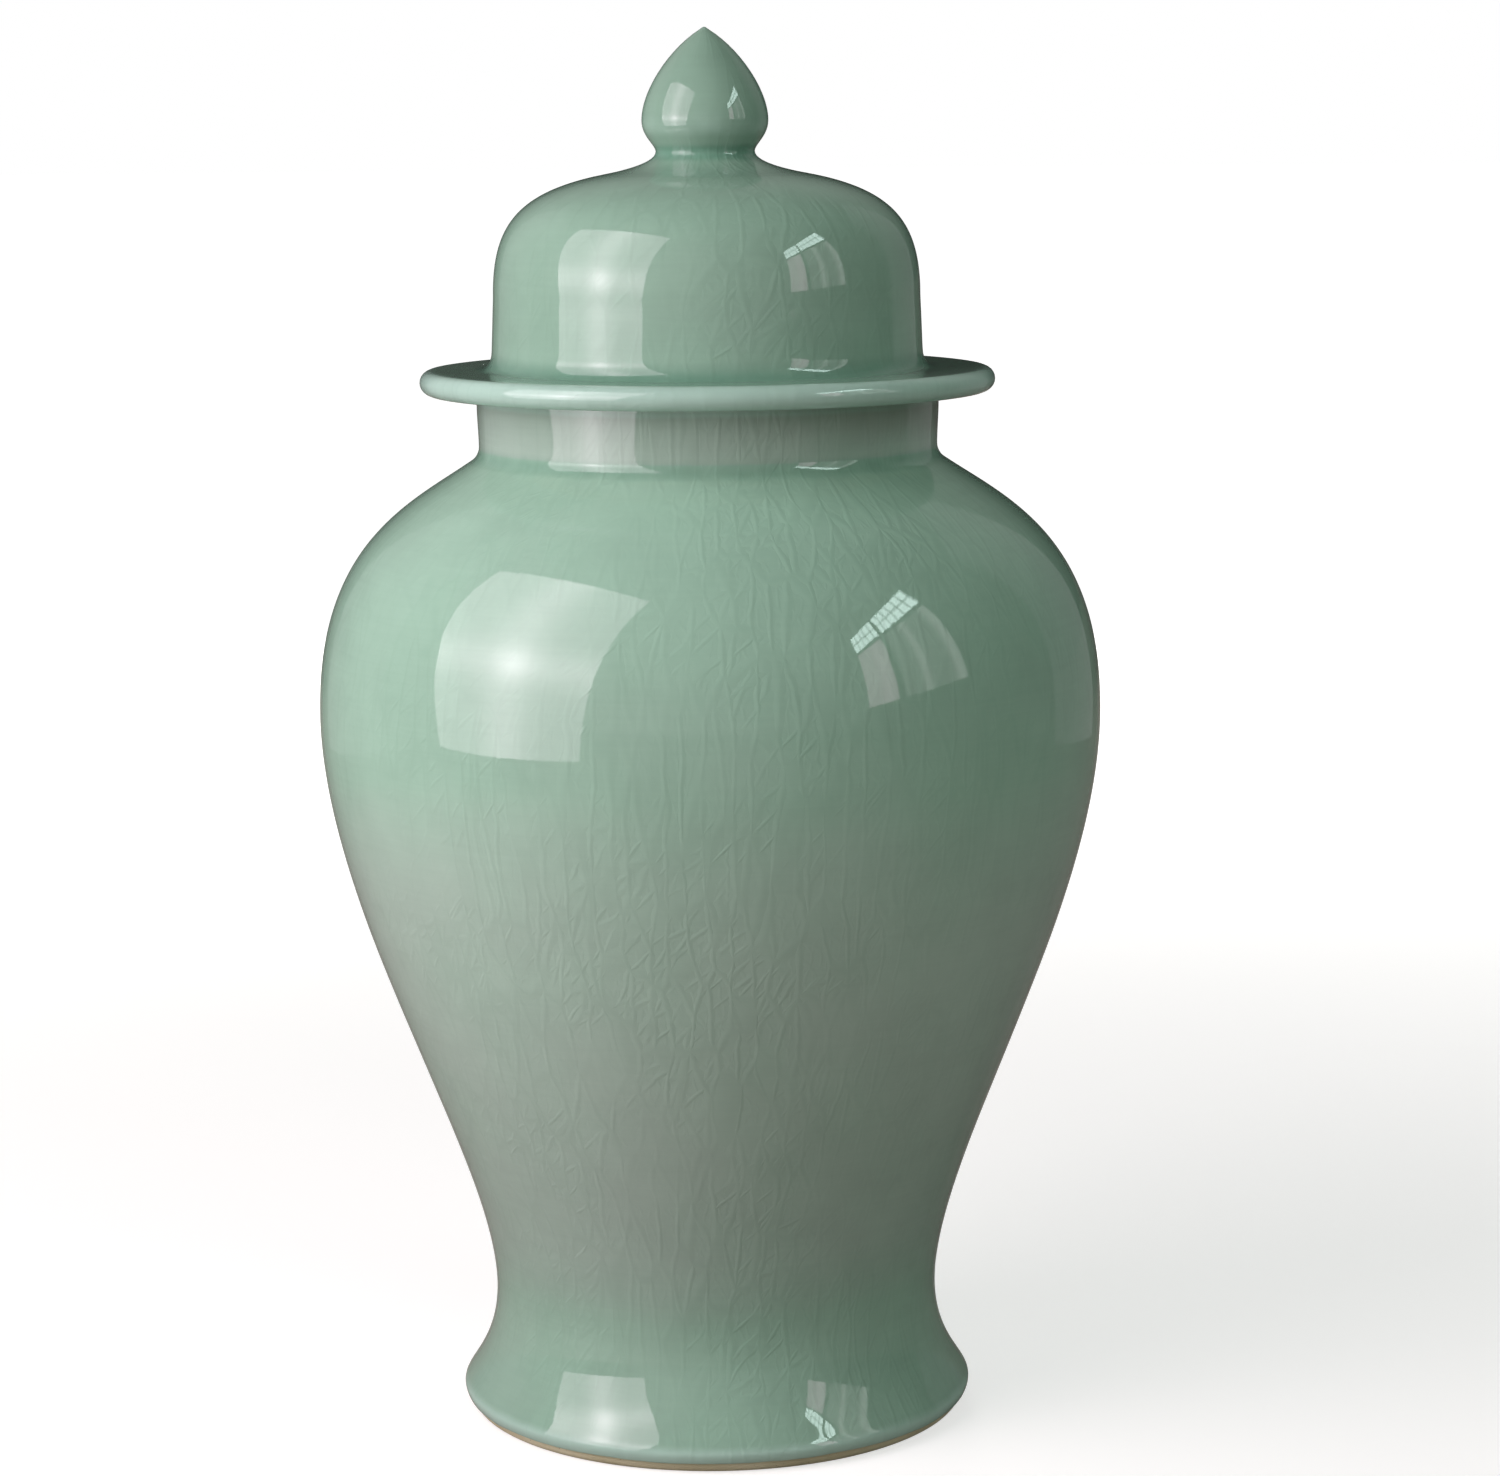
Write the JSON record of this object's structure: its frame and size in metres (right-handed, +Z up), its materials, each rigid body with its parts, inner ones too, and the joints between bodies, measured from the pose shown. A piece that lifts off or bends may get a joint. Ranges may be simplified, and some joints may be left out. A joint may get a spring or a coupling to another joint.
{
  "type": "ginger jar",
  "caption": "Lidded temple jar in crackled celadon stoneware: flared foot, full shoulder, short neck, and a brimmed domed lid with a bud finial that lifts off.",
  "frame": {"origin": "centre of the foot ring's underside, on the axis of turning", "axes": "+Z up along the axis of turning, +X to the right and +Y away from the viewer; the jar looks the same from every side"},
  "size_m": [0.259, 0.259, 0.46],
  "materials": {
    "bare_clay": "matt, fired and unglazed",
    "celadon_glaze": "glossy celadon with a fine crackle"
  },
  "bodies": {
    "jar": {"foot_ring": "bare_clay", "jar_body": "bare_clay", "neck_collar": "bare_clay", "jar_outer_glaze": "celadon_glaze", "jar_inner_glaze": "celadon_glaze", "base_glaze": "celadon_glaze"},
    "lid": {"lid_locating_ring": "bare_clay", "lid_brim": "bare_clay", "lid_dome": "bare_clay", "finial": "bare_clay", "lid_outer_glaze": "celadon_glaze", "lid_inner_glaze": "celadon_glaze"}
  },
  "joints": [
    {"name": "lid_lift", "type": "slide", "parent": "jar", "child": "lid", "axis": [0, 0, 1], "range_m": [0, 0.2]}
  ]
}
